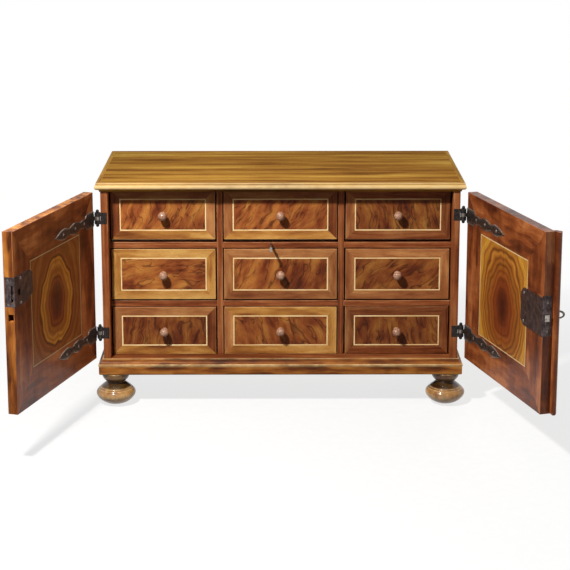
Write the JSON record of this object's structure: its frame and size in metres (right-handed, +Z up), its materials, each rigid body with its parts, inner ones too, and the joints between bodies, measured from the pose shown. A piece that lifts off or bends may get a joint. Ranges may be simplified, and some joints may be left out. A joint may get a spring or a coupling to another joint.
{
  "type": "table cabinet",
  "caption": "Small walnut table cabinet: two doors on iron strap hinges, a lock and a latch, drawers with turned knobs, and turned bun feet.",
  "frame": {"origin": "on the surface the cabinet stands on, at the centre of the rectangle of its four feet", "axes": "+X to the right along the front, +Y from the front to the back, +Z up; the doors open towards -Y"},
  "size_m": [0.857, 0.5915, 0.3891],
  "materials": {
    "walnut": "figured walnut veneer, wax polished",
    "turned_walnut": "turned solid walnut, wax polished",
    "pine": "planed softwood, unfinished",
    "iron": "hand forged, blackened, worn",
    "brass": "cast and filed, dulled"
  },
  "bodies": {
    "case": {"top_board": "walnut", "top_mouldings": "walnut", "left_side": "walnut", "right_side": "walnut", "back_panel": "pine", "bottom_board": "pine", "left_partition": "walnut", "right_partition": "walnut", "drawer_rails": "walnut", "drawer_shelves": "pine", "plinth_mouldings": "walnut", "foot_battens": "pine", "front_left_foot": "turned_walnut", "front_right_foot": "turned_walnut", "rear_left_foot": "turned_walnut", "rear_right_foot": "turned_walnut", "catch_pin": "iron", "hinge_leaves": "iron", "hinge_pins": "iron"},
    "left_door": {"left_door_panel": "walnut", "left_door_straps": "iron", "left_door_nails": "iron", "latch_plate": "iron"},
    "latch_lever": {"latch_lever": "iron"},
    "right_door": {"right_door_panel": "walnut", "right_door_straps": "iron", "right_door_nails": "iron", "lock_plate": "iron", "lock_staple": "iron", "astragal": "walnut", "escutcheon": "brass"},
    "lock_bolt": {"lock_bolt": "iron"},
    "key": {"key": "iron"},
    "bottom_left_drawer": {"bottom_left_front": "walnut", "bottom_left_box": "pine", "bottom_left_knob": "turned_walnut"},
    "bottom_middle_drawer": {"bottom_middle_front": "walnut", "bottom_middle_box": "pine", "bottom_middle_knob": "turned_walnut"},
    "bottom_right_drawer": {"bottom_right_front": "walnut", "bottom_right_box": "pine", "bottom_right_knob": "turned_walnut"},
    "middle_left_drawer": {"middle_left_front": "walnut", "middle_left_box": "pine", "middle_left_knob": "turned_walnut"},
    "middle_middle_drawer": {"middle_middle_front": "walnut", "middle_middle_box": "pine", "middle_middle_knob": "turned_walnut"},
    "middle_right_drawer": {"middle_right_front": "walnut", "middle_right_box": "pine", "middle_right_knob": "turned_walnut"},
    "top_left_drawer": {"top_left_front": "walnut", "top_left_box": "pine", "top_left_knob": "turned_walnut"},
    "top_middle_drawer": {"top_middle_front": "walnut", "top_middle_box": "pine", "top_middle_knob": "turned_walnut"},
    "top_right_drawer": {"top_right_front": "walnut", "top_right_box": "pine", "top_right_knob": "turned_walnut"}
  },
  "joints": [
    {"name": "left_door", "type": "hinge", "parent": "case", "child": "left_door", "pos_m": [-0.3056, -0.1368, 0.2286], "axis": [0, 0, -1], "range_deg": [-107.6, 72.4]},
    {"name": "right_door", "type": "hinge", "parent": "case", "child": "right_door", "pos_m": [0.3056, -0.1368, 0.2286], "axis": [0, 0, 1], "range_deg": [-106.4, 73.6]},
    {"name": "latch_lever", "type": "hinge", "parent": "left_door", "child": "latch_lever", "pos_m": [-0.39097, -0.37945, 0.272], "axis": [0.9532, -0.3024, 0], "range_deg": [0, 7], "stiffness_Nm_per_rad": 0.05, "springref_deg": -11.46},
    {"name": "key", "type": "hinge", "parent": "right_door", "child": "key", "pos_m": [0.39368, -0.39003, 0.23], "axis": [0.9593, 0.2823, 0], "range_deg": [-30, 90]},
    {"name": "lock_bolt", "type": "slide", "parent": "right_door", "child": "lock_bolt", "axis": [0.2823, -0.9593, 0], "range_m": [-0.003, 0.009]},
    {"name": "bottom_left_drawer", "type": "slide", "parent": "case", "child": "bottom_left_drawer", "axis": [0, -1, 0], "range_m": [0, 0.2]},
    {"name": "bottom_middle_drawer", "type": "slide", "parent": "case", "child": "bottom_middle_drawer", "axis": [0, -1, 0], "range_m": [0, 0.2]},
    {"name": "bottom_right_drawer", "type": "slide", "parent": "case", "child": "bottom_right_drawer", "axis": [0, -1, 0], "range_m": [0, 0.2]},
    {"name": "middle_left_drawer", "type": "slide", "parent": "case", "child": "middle_left_drawer", "axis": [0, -1, 0], "range_m": [0, 0.2]},
    {"name": "middle_middle_drawer", "type": "slide", "parent": "case", "child": "middle_middle_drawer", "axis": [0, -1, 0], "range_m": [0, 0.2]},
    {"name": "middle_right_drawer", "type": "slide", "parent": "case", "child": "middle_right_drawer", "axis": [0, -1, 0], "range_m": [0, 0.2]},
    {"name": "top_left_drawer", "type": "slide", "parent": "case", "child": "top_left_drawer", "axis": [0, -1, 0], "range_m": [0, 0.2]},
    {"name": "top_middle_drawer", "type": "slide", "parent": "case", "child": "top_middle_drawer", "axis": [0, -1, 0], "range_m": [0, 0.2]},
    {"name": "top_right_drawer", "type": "slide", "parent": "case", "child": "top_right_drawer", "axis": [0, -1, 0], "range_m": [0, 0.2]}
  ],
  "couplings": [
    {"joint": "key", "follows": "lock_bolt", "rad_per_m": 174.53}
  ]
}
